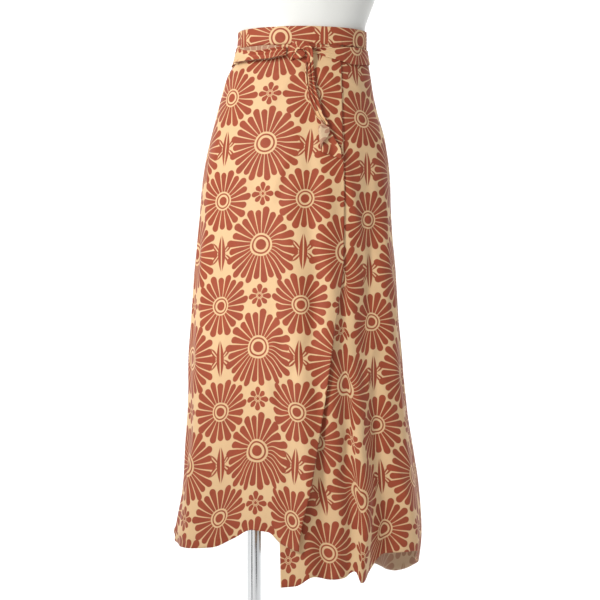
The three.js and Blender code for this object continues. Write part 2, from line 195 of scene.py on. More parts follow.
# %% The skin of the skirt
SECTIONS = rows_of("drop left right front back", [
    (0, 119, 119, 88, 88), (32, 120, 119, 89, 89), (52, 124, 122, 91, 92), (80, 138, 127, 95, 98),
    (112, 148, 132, 99, 105), (150, 158, 141, 103, 112), (195, 169, 154, 108, 119),
    (250, 180, 162, 114, 123), (340, 189, 166, 123, 128), (450, 198, 175, 134, 138),
    (580, 206, 184, 148, 152), (700, 210, 197, 161, 165), (820, 217, 215, 174, 178),
    (900, 230, 221, 182, 188), (1000, 236, 210, 188, 195)])

FOLDS = rows_of("waist hem start out wide", [
    (-82, -79, 120, 6, 6), (-64, -62, 150, 9, 9), (-38, -33, 170, -15, 13), (-8, 3, 80, 15, 8),
    (3, 10, 110, -9, 5), (13, 17, 130, 9, 6), (25, 24, 200, -8, 5), (38, 28, 560, 15, 5),
    (48, 40, 190, -16, 9), (66, 62, 150, 12, 9), (86, 84, 160, -6, 7), (104, 101, 200, 7, 8),
    (126, 122, 220, -12, 10), (148, 145, 180, 14, 9), (170, 168, 240, -11, 9), (190, 191, 160, 13, 9),
    (212, 214, 260, -12, 10), (234, 238, 180, 12, 9), (254, 258, 220, -7, 8)])


FOLDS_END = 950


def turn_from(angle, line):
    away = angle - line
    return away - 2 * math.pi * np.round(away / (2 * math.pi))


def fold_out(angle, drop):
    out = np.zeros(np.broadcast(angle, drop).shape)
    for fold in FOLDS:
        down = np.clip((drop - fold["start"]) / (FOLDS_END - fold["start"]), 0, 1)
        turn = (fold["hem"] - fold["waist"]) * np.clip(drop / FOLDS_END, 0, 1)
        line = (fold["waist"] + turn) * DEG
        away = turn_from(angle, line) / (fold["wide"] * DEG)
        out = out + fold["out"] * down ** 0.9 * np.exp(-away * away)
    return out


# %% [markdown]
# ## Small creases, placed one by one
# Thin woven cloth also keeps small creases: slanted ones that pull from the knot, short ones where the
# skirt bends over the hip, and longer ones above the hem. Each row below is one of them, with its middle,
# its length and width in millimetres, its lean from upright, and how far it stands out. No two are alike,
# because evenly spaced creases look machine made.

# %% Small creases
CREASES = rows_of("angle drop long wide lean out", [
    (-24, 92, 34, 6, 62, 1.6), (-34, 108, 40, 8, 50, -1.5), (-16, 120, 46, 7, 34, 1.4),
    (7, 118, 52, 8, -24, 1.5), (20, 104, 44, 7, -48, -1.6), (31, 122, 48, 8, -40, 1.5),
    (44, 96, 30, 6, -58, 1.2), (-70, 78, 24, 5, 20, 1.3), (-80, 90, 30, 6, 12, -1.2),
    (-12, 262, 44, 7, 14, 2.2), (-26, 292, 40, 8, -20, -1.8), (-11, 356, 46, 7, 10, 1.9),
    (-14, 548, 60, 9, 16, 2.2), (-3, 602, 52, 8, 22, -2.2), (9, 566, 64, 9, 8, 2.4),
    (-15, 650, 40, 8, -18, 1.8), (-40, 470, 90, 10, 6, 1.8), (-52, 640, 80, 10, -5, -1.9),
    (32, 300, 70, 9, -10, 1.9), (48, 420, 90, 10, 7, -2.0), (40, 640, 80, 10, 12, 2.3),
    (60, 560, 70, 10, -8, 1.9), (22, 760, 60, 9, 14, -2.4), (34, 820, 50, 9, 10, 2.6),
    (54, 800, 60, 10, -12, 2.3), (-28, 770, 60, 9, -7, 2.0), (-66, 812, 54, 10, 8, 2.0),
    (-10, 800, 54, 8, 6, 2.4), (2, 846, 40, 7, -10, -2.0), (75, 700, 80, 10, 6, -2.0),
    (108, 150, 60, 9, -22, 1.8), (131, 320, 90, 10, 10, -1.9), (150, 220, 60, 9, 26, 1.7),
    (166, 470, 90, 11, -8, 2.1), (184, 300, 70, 9, 12, -1.8), (199, 610, 90, 11, 7, 2.2),
    (216, 170, 56, 9, 24, 1.8), (228, 420, 80, 10, -12, -2.0), (249, 540, 80, 10, 9, 2.0),
    (141, 700, 80, 10, 9, 2.3), (176, 800, 60, 10, -10, 2.3), (236, 780, 60, 10, 12, -2.2)])


CREASE_STRENGTH = 1.5


def crease_out(angle, drop):
    out = np.zeros(np.broadcast(angle, drop).shape)
    for crease in CREASES:
        round_by = 100 + 0.1 * crease["drop"]
        side = turn_from(angle, crease["angle"] * DEG) * round_by
        down = drop - crease["drop"]
        lean = crease["lean"] * DEG
        across = (side * math.cos(lean) + down * math.sin(lean)) / crease["wide"]
        along = (-side * math.sin(lean) + down * math.cos(lean)) / crease["long"]
        out = out + CREASE_STRENGTH * crease["out"] * np.exp(-across ** 2 - np.abs(along) ** 3)
    return out


def sway(angle, drop):
    """The slight unevenness of cloth that was folded and then hung."""
    grown = ease(60, 420, drop)
    slow = 0.9 * np.sin(angle * 17 + drop * 0.012) * np.sin(drop * 0.021 + angle * 3)
    quick = 0.7 * np.sin(angle * 31 - drop * 0.017) * np.sin(drop * 0.034 - angle * 5)
    return grown * (slow + quick)


def section(column, drop):
    return read(SECTIONS, "drop", column, drop)


def skin(angle, drop, out=0.0):
    side, ahead = np.sin(angle), np.cos(angle)
    wide = np.where(side > 0, section("right", drop), section("left", drop))
    deep = np.where(ahead > 0, section("front", drop), section("back", drop))
    face_x, face_y = side / wide, -ahead / deep
    length = np.hypot(face_x, face_y)
    reach = out + fold_out(angle, drop) + crease_out(angle, drop) + sway(angle, drop)
    x = wide * side + face_x / length * reach
    y = -deep * ahead + face_y / length * reach
    return np.stack([x * MM, y * MM, WAIST_TOP - drop * MM + 0 * x], axis=-1)


def angle_at(x, drop):
    wide = np.where(np.asarray(x) > 0, section("right", drop), section("left", drop))
    return np.arcsin(x / wide)


CLOTH = 1.5
LAYER = {"waist": 0.5, "hip": 1.4, "hem": 2.6}


def layer_step(drop):
    upper = LAYER["waist"] + (LAYER["hip"] - LAYER["waist"]) * ease(32, 200, drop)
    return CLOTH + upper + (LAYER["hem"] - upper) * ease(200, 800, drop)


def step_up(angle):
    return ease(-82 * DEG, -58 * DEG, angle)


print("folds", len(FOLDS), "creases", len(CREASES))

# %% [markdown]
# ## The print, drawn with arithmetic
# The cloth is printed in rust on a cream ground. The motifs are round blossoms of tapered petals in a
# half-drop repeat, with sprigs of leaves and small blossoms in the gaps. Math nodes work them out from the
# cloth's own flat coordinates in metres, so the print bends with the cloth, and one table resizes it.

# %% Writing arithmetic as nodes


class Sum:
    """A number in a node tree, so that a formula can be written as one."""

    def __init__(self, tree, socket):
        self.tree, self.socket = tree, socket

    def node(self, kind, *others):
        made = self.tree.nodes.new("ShaderNodeMath")
        made.operation = kind
        for slot, term in zip(made.inputs, (self, *others)):
            if isinstance(term, Sum):
                self.tree.links.new(term.socket, slot)
            else:
                slot.default_value = term
        return Sum(self.tree, made.outputs[0])

    def __add__(self, other):
        return self.node("ADD", other)

    def __sub__(self, other):
        return self.node("SUBTRACT", other)

    def __mul__(self, other):
        return self.node("MULTIPLY", other)

    def __neg__(self):
        return self * -1

    def edge(self, soft):
        """1 where the number is below zero, 0 above, with a soft change between."""
        made = self.tree.nodes.new("ShaderNodeMapRange")
        made.interpolation_type = "SMOOTHSTEP"
        made.inputs["From Min"].default_value = soft
        made.inputs["From Max"].default_value = -soft
        self.tree.links.new(self.socket, made.inputs["Value"])
        return Sum(self.tree, made.outputs[0])


# %% The motifs
REPEAT = {"wide": 0.158, "high": 0.186}
INK_EDGE = 0.0005
BLOSSOMS = rows_of("along up radius petals", [(0.0, 0.0, 0.070, 26), (0.5, 0.5, 0.056, 20)])


def cell(u, v, along, up):
    x = ((u * (1 / REPEAT["wide"]) + (0.5 - along)).node("FRACT") - 0.5) * REPEAT["wide"]
    y = ((v * (1 / REPEAT["high"]) + (0.5 - up)).node("FRACT") - 0.5) * REPEAT["high"]
    return x, y


def length_of(x, y):
    return (x * x + y * y).node("SQRT")


def blossom(x, y, radius, petals):
    away = length_of(x, y)
    turn = y.node("ARCTAN2", x) * (petals / (2 * math.pi))
    aside = (turn + 0.5).node("FRACT") - 0.5
    lean = 0.41 * 2 * math.pi / petals
    short = (turn * 0.5 + 0.25).node("FRACT").node("GREATER_THAN", 0.5) * (0.085 * radius)
    tip = -short + radius / (1 + lean)
    beyond = (away - tip).node("MAXIMUM", 0.0)
    sideways = away * aside * (2 * math.pi / petals)
    petal = length_of(beyond, sideways) - away.node("MINIMUM", tip) * lean
    petal = petal.node("MAXIMUM", -away + 0.30 * radius)
    heart = away - 0.14 * radius
    ring = (away - 0.225 * radius).node("ABSOLUTE") - 0.022 * radius
    return petal.node("MINIMUM", heart).node("MINIMUM", ring)


def leaf(x, y, long, wide, turn):
    c, s = math.cos(turn), math.sin(turn)
    along = x * c + y * s
    across = (y * c - x * s).node("ABSOLUTE")
    body = across + along * along * (wide / long ** 2) - wide
    vein = -across + 0.0011
    return body.node("MAXIMUM", vein)


def sprig(x, y):
    shape = leaf(x, y, 0.034, 0.0075, math.pi / 2)
    for side in (-1, 1):
        for lift in (-1, 1):
            shape = shape.node("MINIMUM", leaf(x - side * 0.0135, y - lift * 0.0105, 0.013, 0.0044,
                                               math.pi / 2 - side * lift * 0.75))
    return shape


def ink_group():
    """The whole print as one node group: flat coordinates in, ink out."""
    group = bpy.data.node_groups.new("blossom_print", "ShaderNodeTree")
    group.interface.new_socket("Flat", in_out="INPUT", socket_type="NodeSocketVector")
    group.interface.new_socket("Ink", in_out="OUTPUT", socket_type="NodeSocketFloat")
    start, end = group.nodes.new("NodeGroupInput"), group.nodes.new("NodeGroupOutput")
    split = group.nodes.new("ShaderNodeSeparateXYZ")
    group.links.new(start.outputs["Flat"], split.inputs[0])
    u, v = Sum(group, split.outputs[0]), Sum(group, split.outputs[1])
    shape = None
    for row in BLOSSOMS:
        made = blossom(*cell(u, v, row["along"], row["up"]), row["radius"], row["petals"])
        shape = made if shape is None else shape.node("MINIMUM", made)
    shape = shape.node("MINIMUM", sprig(*cell(u, v, 0.5, 0.0)))
    shape = shape.node("MINIMUM", blossom(*cell(u, v, 0.0, 0.5), 0.0215, 8))
    group.links.new(shape.edge(INK_EDGE).socket, end.inputs["Ink"])
    return group


INK = ink_group()
print("print repeat", REPEAT, "nodes", len(INK.nodes))

# %% [markdown]
# ## Cloth that looks woven
# The cloth is a thin smooth weave. The dye sinks in unevenly, so both colours drift a little. The threads
# are finer than the eye sees at this distance, so they are only a faint bump, and a little sheen lifts the
# edges of the folds. The wrong side shows the same print, paler, because the ink does not reach through,
# and its ground is painted darker and greyer as painted shade, for the inside that lies in shadow.

# %% Cloth materials


def srgb(r, g, b):
    return tuple(((c / 255 + 0.055) / 1.055) ** 2.4 for c in (r, g, b)) + (1,)


def tint_drift(tree, vector, scale, low, high):
    noise = tree.nodes.new("ShaderNodeTexNoise")
    noise.inputs["Scale"].default_value = scale
    noise.inputs["Detail"].default_value = 3
    tree.links.new(vector, noise.inputs["Vector"])
    spread = tree.nodes.new("ShaderNodeMapRange")
    spread.inputs["To Min"].default_value = low
    spread.inputs["To Max"].default_value = high
    tree.links.new(noise.outputs[0], spread.inputs["Value"])
    return spread.outputs[0]


def blend(tree, amount, first, second):
    made = tree.nodes.new("ShaderNodeMix")
    made.data_type = "RGBA"
    for socket, value in ((made.inputs[0], amount), (made.inputs[6], first), (made.inputs[7], second)):
        if isinstance(value, bpy.types.NodeSocket):
            tree.links.new(value, socket)
        else:
            socket.default_value = value
    return made.outputs[2]


def printed_cloth(name, ground, ground_deep, ink, ink_light, strength):
    material = bpy.data.materials.new(name)
    material.use_nodes = True
    tree = material.node_tree
    shader = tree.nodes["Principled BSDF"]
    flat = tree.nodes.new("ShaderNodeUVMap")
    flat.uv_map = "flat"
    pattern = tree.nodes.new("ShaderNodeGroup")
    pattern.node_tree = INK
    tree.links.new(flat.outputs[0], pattern.inputs[0])
    cream = blend(tree, tint_drift(tree, flat.outputs[0], 9, 0, 1), ground, ground_deep)
    rust = blend(tree, tint_drift(tree, flat.outputs[0], 34, 0, 1), ink, ink_light)
    held = Sum(tree, pattern.outputs[0]) * strength
    tree.links.new(blend(tree, held.socket, cream, rust), shader.inputs["Base Color"])
    weave = tree.nodes.new("ShaderNodeTexNoise")
    weave.inputs["Scale"].default_value = 1100
    weave.inputs["Detail"].default_value = 2
    slub = tree.nodes.new("ShaderNodeMapping")
    slub.inputs["Scale"].default_value = (1.0, 0.35, 1.0)
    tree.links.new(flat.outputs[0], slub.inputs[0])
    tree.links.new(slub.outputs[0], weave.inputs["Vector"])
    bump = tree.nodes.new("ShaderNodeBump")
    bump.inputs["Strength"].default_value = 0.18
    bump.inputs["Distance"].default_value = 0.0004
    tree.links.new(weave.outputs[0], bump.inputs["Height"])
    tree.links.new(bump.outputs[0], shader.inputs["Normal"])
    shader.inputs["Roughness"].default_value = 0.66
    shader.inputs["Specular IOR Level"].default_value = 0.32
    shader.inputs["Sheen Weight"].default_value = 0.12
    shader.inputs["Sheen Roughness"].default_value = 0.45
    return material


RIGHT_SIDE = printed_cloth("print_right_side", srgb(232, 196, 150), srgb(224, 185, 138),
                           srgb(146, 60, 36), srgb(170, 80, 50), 1.0)
# The wrong side: the paler, weaker print is real; the darker, greyer ground is painted shade.
WRONG_SIDE_AND_SHADE = printed_cloth("print_wrong_side_and_painted_shade", srgb(212, 184, 150), srgb(203, 174, 140),
                           srgb(158, 100, 80), srgb(170, 114, 92), 0.72)
print("cloth materials", RIGHT_SIDE.name, "and", WRONG_SIDE_AND_SHADE.name)

# %% [markdown]
# ## From a grid of points to a shell of cloth
# A cloth panel is a grid: columns run round the body and rows run down. The helper makes the mesh and
# stores where each point lay when the cloth was flat. A Solidify modifier gives the sheet its thickness,
# and its inner faces take the wrong-side material. The flat measures come from the grid itself.

# %% From a grid to a shell
LEAST_AREA_SHARE = 0.31


def lengths(points, axis):
    return np.linalg.norm(np.diff(points, axis=axis), axis=-1)


def flat_map(points, anchor_column, across_first=0.0, down_first=0.0):
    """Flat coordinates: distance round the row from the anchor column, and distance down the grid."""
    row_start = np.zeros((points.shape[0], 1))
    round_by = np.concatenate([row_start, np.cumsum(lengths(points, 1), axis=1)], axis=1)
    down_by = np.concatenate([[0], np.cumsum(lengths(points, 0).mean(axis=1))])
    columns = np.arange(points.shape[1])
    at_anchor = np.array([np.interp(a, columns, row) for a, row in zip(anchor_column, round_by)])
    across = round_by - at_anchor[:, None] + across_first
    return np.stack([across, np.broadcast_to(-down_by[:, None] + down_first, across.shape)], axis=-1)


def shell(name, points, flat, thick, nodes):
    rows, columns = points.shape[:2]
    corner = np.arange(rows * columns).reshape(rows, columns)
    corners = corner[:-1, :-1], corner[1:, :-1], corner[1:, 1:], corner[:-1, 1:]
    quads = np.stack(corners, -1).reshape(-1, 4)
    mesh = bpy.data.meshes.new(name)
    mesh.from_pydata(points.reshape(-1, 3).tolist(), [], quads.tolist())
    layer = mesh.uv_layers.new(name="flat")
    layer.data.foreach_set("uv", flat.reshape(-1, 2)[quads.ravel()].ravel())
    mesh.polygons.foreach_set("use_smooth", [True] * len(mesh.polygons))
    mesh.materials.append(RIGHT_SIDE)
    mesh.materials.append(WRONG_SIDE_AND_SHADE)
    piece = bpy.data.objects.new(name, mesh)
    bpy.context.scene.collection.objects.link(piece)
    wall = piece.modifiers.new("cloth_thickness", "SOLIDIFY")
    wall.thickness = thick * MM
    wall.offset = -1
    wall.material_offset = 1
    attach(piece, "root")
    if nodes:
        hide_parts(*nodes)
    return piece


def cut_size(points):
    across, down = lengths(points, 1).sum(axis=1), lengths(points, 0).sum(axis=0)
    wide, long = float(across.max()), float(down.max())
    quad_area = lengths(points, 1)[:-1] * lengths(points, 0)[:, :-1]
    return wide, long, min(float(quad_area.sum()), wide * long)


def declare(piece, points):
    wide, long, area = cut_size(points)
    area = max(area, LEAST_AREA_SHARE * wide * long)
    print(piece.name, "cut", round(wide, 3), "x", round(long, 3), "m, area", round(area, 4))


# %% [markdown]
# ## The three panels
# The skirt is three A-line panels: one back, and two fronts that lap over each other. The upper front ends
# in a free edge that drifts toward the middle as it falls. Its hem and the hem of the layer beneath hang at
# different heights, as they do when a wrap is tied by hand, so each hem is its own short table.

# %% Hems and free edges
OVER_EDGE = rows_of("drop x", [(0, 69), (196, 72), (310, 75), (415, 74), (536, 56), (690, 34), (793, 17),
                               (912, -5)])
UNDER_EDGE = rows_of("drop x", [(0, -58), (300, -56), (700, -46), (980, -37)])
OVER_HEM = rows_of("angle drop", [(-90, 913), (-60, 920), (-44, 915), (-33, 897), (-23, 880), (-15, 882),
                                  (-9, 900), (0, 911)])
UNDER_HEM = rows_of("angle drop", [(-12, 976), (-3, 972), (5, 956), (13, 962), (20, 960), (25, 950),
                                   (28, 970), (37, 950), (45, 926), (60, 926), (90, 958)])
BACK_HEM = rows_of("angle drop", [(90, 958), (120, 990), (150, 984), (185, 935), (215, 912), (245, 906),
                                  (270, 913)])
SEAM_HALF = 0.4
SEAM_GAP = 0.3
PANEL_TOP = BAND_DEEP / MM + SEAM_GAP
SKIRT_THICK = 0.9
EDGE_LIFT = 11


def drop_at(t, hem):
    return PANEL_TOP + (hem - PANEL_TOP) * (0.8 * t + 0.2 * t * t)


def panel_grid(rows, columns, start_of, end_of, hem, rough_hem, level_of):
    t = np.linspace(0, 1, rows)[:, None]
    u = np.linspace(0, 1, columns)[None, :]
    rough = drop_at(t, rough_hem)
    start, end = start_of(rough), end_of(rough)
    angle = start + (end - start) * u
    drop = drop_at(t, read(hem, "angle", "drop", angle / DEG))
    return skin(angle, drop, level_of(angle, drop, u)), angle


def seam_turn(drop):
    return SEAM_HALF / section("left", drop)


def column_of(angle, wanted):
    return [np.interp(wanted * DEG, row, np.arange(len(row))) for row in angle]


# %% The upper front


def rumple(angle, drop, hem):
    """The rolled crease above the left part of the upper hem."""
    along = ease(-94 * DEG, -80 * DEG, angle) * (1 - ease(-50 * DEG, -26 * DEG, angle))
    up = (hem - drop - 17 - 5 * np.sin(angle * 9)) / 5.5
    return 3.2 * along * np.exp(-up * up)


def over_level(angle, drop, u):
    hem = read(OVER_HEM, "angle", "drop", angle / DEG)
    lift = EDGE_LIFT * ease(0.86, 1, u) * ease(420, 860, drop)
    return -layer_step(drop) * (1 - step_up(angle)) + lift + rumple(angle, drop, hem)


over, over_angle = panel_grid(
    210, 130,
    lambda d: -90 * DEG + seam_turn(d),
    lambda d: angle_at(read(OVER_EDGE, "drop", "x", d), d),
    OVER_HEM, 912, over_level)
over_flat = flat_map(over, column_of(over_angle, -22))
skirt_over = shell("skirt_front_over_cloth", over, over_flat, SKIRT_THICK, ["skirt_front_over"])
declare(skirt_over, over)

# %% The lower front
under, under_angle = panel_grid(
    210, 130,
    lambda d: angle_at(read(UNDER_EDGE, "drop", "x", d), d),
    lambda d: 90 * DEG - seam_turn(d),
    UNDER_HEM, 960, lambda angle, drop, u: -layer_step(drop))
under_flat = flat_map(under, column_of(under_angle, 40), 0.061, 0.043)
skirt_under = shell("skirt_front_under_cloth", under, under_flat, SKIRT_THICK, ["skirt_front_under"])
declare(skirt_under, under)

# %% The back
back, back_angle = panel_grid(
    200, 190,
    lambda d: 90 * DEG + seam_turn(d),
    lambda d: 270 * DEG - seam_turn(d),
    BACK_HEM, 950, lambda angle, drop, u: -layer_step(drop))
back_flat = flat_map(back, column_of(back_angle, 180), 0.02, 0.01)
skirt_back = shell("skirt_back_cloth", back, back_flat, SKIRT_THICK, ["skirt_back"])
declare(skirt_back, back)

# %% [markdown]
# ## The waistband
# The waistband is a straight strip folded double over the top of the panels. It goes round as three
# stretches: the back, the inner one on the lower front, and the outer one on the upper front.

# %% The waistband
BAND = 1.8
BAND_STEP = BAND + 0.35
BAND_THICK = 1.2


def pucker(angle, drop):
    """Small gathers where the seam draws the band in."""
    near_seam = ease(12, 32, drop)
    coarse = 0.28 * np.sin(angle * 61 + 1.3)
    fine = 0.22 * np.sin(angle * 97 + 0.4) * np.sin(angle * 7)
    return near_seam * (coarse + fine)


def band_grid(start, end, columns, level_of):
    t = np.linspace(0, 1, 14)[:, None]
    angle = (start + (end - start) * np.linspace(0, 1, columns)[None, :]) + 0 * t
    drop = BAND_DEEP / MM * t + 0 * angle
    return skin(angle, drop, level_of(angle) + pucker(angle, drop))


def waistband(name, node, start, end, columns, level_of, across_first):
    points = band_grid(start, end, columns, level_of)
    flat = flat_map(points, [columns / 2] * len(points), across_first, 0.02)
    piece = shell(name, points, flat, BAND_THICK, [node])
    declare(piece, points)


def level_inside(angle):
    return -BAND_STEP + 0 * angle


def level_outside(angle):
    return -BAND_STEP * (1 - step_up(angle))


seam = seam_turn(0)
under_start = float(angle_at(UNDER_EDGE[0]["x"], 0))
waistband("waistband_over_cloth", "waistband_over", -90 * DEG + seam, 80 * DEG, 150, level_outside, 0.03)
waistband("waistband_under_cloth", "waistband_under", under_start, 90 * DEG - seam, 110, level_inside, 0.05)
waistband("waistband_back_cloth", "waistband_back", 90 * DEG + seam, 270 * DEG - seam, 150, level_inside, 0.0)

# %% [markdown]
# ## The tie round the waist
# The tie is a long strip that goes once round below the waistband. It lies flat at the sides and is drawn
# into pleats toward the knot, so its width comes from a table and its pleats deepen as the strip narrows.

# %% The tie round the waist
TIE_ROUND = rows_of("angle upper lower", [
    (-90, 34, 60), (-45, 35, 59), (-14, 40, 51), (9, 40, 48), (19, 37, 54), (28, 36, 58), (46, 34, 65),
    (70, 33, 61), (90, 33, 56), (150, 34, 60), (210, 34, 62), (270, 34, 60)])
TIE_CLEAR = 1.05
TIE_WIDE = 27
TIE_THICK = 0.8
TIE_ROWS = 30


def tie_level(angle):
    turn = turn_from(angle, 0.0)
    on_front = ease(-88 * DEG, -60 * DEG, turn) * (1 - ease(52 * DEG, 86 * DEG, turn))
    return (-BAND_STEP + 0.25) * (1 - on_front) + TIE_CLEAR + BAND


def pleats(t, wide, count, deep):
    """Pleats along a strip: deeper where the strip is drawn in below its full width."""
    drawn = np.clip((TIE_WIDE - wide) / 20, 0.06, 1)
    ridges = np.sin(t * count * math.pi) ** 2 - 0.4
    uneven = 0.3 * np.sin(t * (count + 2.3) * math.pi)
    return deep * drawn * (ridges + uneven)


def tie_stretch(name, node, start, end, columns):
    t = np.linspace(0, 1, TIE_ROWS)[:, None]
    angle = (start + (end - start) * np.linspace(0, 1, columns)[None, :]) * DEG + 0 * t
    upper = read(TIE_ROUND, "angle", "upper", angle / DEG)
    lower = read(TIE_ROUND, "angle", "lower", angle / DEG)
    level = tie_level(angle) + pleats(t, lower - upper, 4, 3.2) + 0.25 * np.sin(angle * 23)
    points = skin(angle, upper + (lower - upper) * t, level)
    piece = shell(name, points, flat_map(points, [0] * TIE_ROWS, 0.3, 0.09), TIE_THICK, [node])
    declare(piece, points)


tie_stretch("tie_round_right_cloth", "tie_round_right", 6, 90, 110)
tie_stretch("tie_round_back_cloth", "tie_round_back", 90.3, 269.7, 150)
tie_stretch("tie_round_left_cloth", "tie_round_left", -90, -12, 90)

# %% [markdown]
# ## A ribbon of cloth
# The knot, the loop and the tail are all one strip. A ribbon is laid along a path on the skin: each row of
# its table gives a place, how far it stands out, its width, and how far it is turned. The strip's pleats
# run along it, and they deepen where it is squeezed narrow.

# %% A ribbon laid on the skin
FACE_OUT = 6.0


def on_skin(x, drop, out):
    """Points on the skin by their distance from the middle of the front."""
    return skin(angle_at(x, drop), drop, out)


def ribbon(path, rows, columns, pleat_count, pleat_deep, full_wide=30.0):
    key = np.linspace(path[0]["at"], path[-1]["at"], rows)
    names = "x", "drop", "out", "wide", "turn"
    x, drop, out, wide, turn = (read(path, "at", name, key) for name in names)
    middle = on_skin(x, drop, out)
    facing = on_skin(x, drop, out + FACE_OUT) - middle
    facing /= np.linalg.norm(facing, axis=1, keepdims=True)
    along = np.gradient(middle, axis=0)
    along /= np.linalg.norm(along, axis=1, keepdims=True)
    across = np.cross(facing, along)
    across /= np.linalg.norm(across, axis=1, keepdims=True)
    facing = np.cross(along, across)
    c, s = np.cos(turn * DEG)[:, None], np.sin(turn * DEG)[:, None]
    side, face = across * c + facing * s, facing * c - across * s
    u = np.linspace(0, 1, columns)
    squeezed = np.clip((full_wide - wide) / full_wide, 0.05, 1)[:, None]
    even = np.sin(u * pleat_count * 2 * math.pi + key[:, None] * 1.7)
    uneven = 0.4 * np.sin(u * pleat_count * 3.3 * math.pi)
    lift = pleat_deep * squeezed * (even + uneven)
    offset = (u - 0.5) * wide[:, None]
    moved = side[:, None] * offset[..., None] + face[:, None] * lift[..., None]
    return middle[:, None] + moved * MM


print("a ribbon's facing is measured", FACE_OUT, "mm out of the skin")


# %% [markdown]
# ## The half bow
# A half bow is a loop on one side and a tail on the other. The loop is the strip gone out along the waist,
# turned, and brought back. Its front leaf has slumped, so the opening shows the wrong side of the other
# one.

# %% The loop
LOOP = {"near": -12, "far": -62, "inner": 3.6, "outer": 13.0, "upper": 33, "lower": 59,
        "neck_upper": 39, "neck_lower": 53}


def loop_grid(columns=170, rows=34):
    u = np.linspace(0, 1, columns)[None, :]
    t = np.linspace(0, 1, rows)[:, None]
    turn = 0.44
    bend = np.clip((u - turn) / (1 - 2 * turn), 0, 1) * math.pi
    leg = np.minimum(np.clip(u / turn, 0, 1), np.clip((1 - u) / turn, 0, 1))
    angle = LOOP["near"] + (LOOP["far"] - LOOP["near"]) * leg - 2.6 * np.sin(bend)
    swell = np.sin(leg * math.pi) ** 0.7
    front = ease(0.48, 0.60, u)
    out = LOOP["inner"] + (LOOP["outer"] - LOOP["inner"]) / 2 * (1 - np.cos(bend)) + 3.0 * swell * front
    open_by = ease(0, 15, LOOP["near"] - angle)
    upper = LOOP["neck_upper"] + (LOOP["upper"] - LOOP["neck_upper"]) * open_by
    lower = LOOP["neck_lower"] + (LOOP["lower"] - LOOP["neck_lower"]) * open_by
    slump = front * open_by * 10.5 * np.sin(np.clip(leg * 1.05, 0, 1) * math.pi) ** 0.8
    drop = upper + (lower - upper) * t + slump * (1 - t) ** 1.5
    fold_over = 2.2 * np.exp(-((t - 0.12) / 0.13) ** 2) * open_by * front
    roll = 1.6 * np.sin(t * 2.6 * math.pi + leg * 3.5 + 0.6) * front * (0.4 + 0.6 * open_by)
    pleat = 1.5 * np.sin(t * 6.2 * math.pi + 1.5 * leg) * (1 - open_by) * (0.3 + 0.7 * front)
    return skin(angle * DEG + 0 * drop, drop, out + fold_over + roll + pleat + 0 * drop)


loop = loop_grid()
loop_flat = flat_map(loop, [0] * len(loop), 0.11, 0.05)
tie_loop = shell("tie_loop_cloth", loop, loop_flat, TIE_THICK, ["tie_loop"])
declare(tie_loop, loop)

# %% [markdown]
# ## The knot
# A knot in soft cloth is a few pleated turns pressed together. Here a rounded, pleated roll is the turn
# that lies under, and a strap comes up over it and runs down into the tail.

# %% The knot
KNOT = {"x": -8.5, "drop": 47, "wide": 31, "high": 25, "deep": 14}


def knot_grid(rows=64, columns=110):
    """A roll: rows go round it, columns run from its left end to its right end."""
    t = np.linspace(0.04, 0.96, rows)[:, None]
    u = np.linspace(0, 1, columns)[None, :]
    turn = u * 2 * math.pi
    swell = np.sin(t * math.pi) ** 0.42
    depth = np.sin(t * math.pi)
    pleat = 1 + depth * (0.13 * np.sin(turn * 4 + t * 4.5) + 0.06 * np.sin(turn * 7 - t * 6.0))
    x = KNOT["x"] + (t - 0.5) * KNOT["wide"] + 0 * u
    high = KNOT["high"] / 2 * 0.9 * swell * pleat
    deep = KNOT["deep"] / 2 * 0.84 * swell * pleat
    middle = skin(angle_at(KNOT["x"], KNOT["drop"]), np.array(float(KNOT["drop"])), 0.8)
    y = middle[1] / MM - KNOT["deep"] / 2 - np.cos(turn) * deep
    z = middle[2] / MM - np.sin(turn) * high - (t - 0.5) * 4
    return np.stack([x * MM, y * MM, z * MM], axis=-1).transpose(1, 0, 2)


knot = knot_grid()
knot_flat = flat_map(knot, [45] * len(knot), 0.05, 0.16)
tie_knot = shell("tie_knot_cloth", knot, knot_flat, TIE_THICK, ["tie_knot"])
declare(tie_knot, knot)

# %% The strap over the knot
STRAP = rows_of("at x drop out wide turn", [
    (0, -15.5, 60, 3.5, 13, 0), (1, -17.5, 52, 12.5, 13, 0), (2, -13.5, 42, 17.2, 14, 0),
    (3, -5.0, 36.5, 18.2, 14, 0), (4, 4.5, 38, 17.4, 13, 0), (5, 11, 45, 15.0, 12, 0),
    (6, 13.6, 55, 11.5, 11, 0), (7, 13.0, 66, 8.2, 12, 0)])
strap = ribbon(STRAP, 120, 30, 2, 1.1)
strap_flat = flat_map(strap, [15] * len(strap), 0.10, 0.12)
tie_strap = shell("tie_strap_cloth", strap, strap_flat, TIE_THICK, [])
declare(tie_strap, strap)

# %% [markdown]
# ## The tail
# The tail hangs from the strap, gathered into a narrow rope of pleats. At its end it opens, and its left
# edge has folded over to the front, so that a pointed corner of the wrong side catches the light.

# %% The tail
TAIL = rows_of("drop x wide out flap", [
    (66, 12.6, 14, 7.2, 0), (96, 14, 17, 5.6, 0), (131, 21, 17, 5.4, 0), (160, 30, 14, 6.2, 0),
    (173, 39, 12, 7.2, 0.1), (182, 41, 26, 6.6, 0.5), (200, 46, 33, 5.6, 0.34), (218, 49, 36, 4.8, 0.06),
    (232, 50, 34, 4.4, 0)])


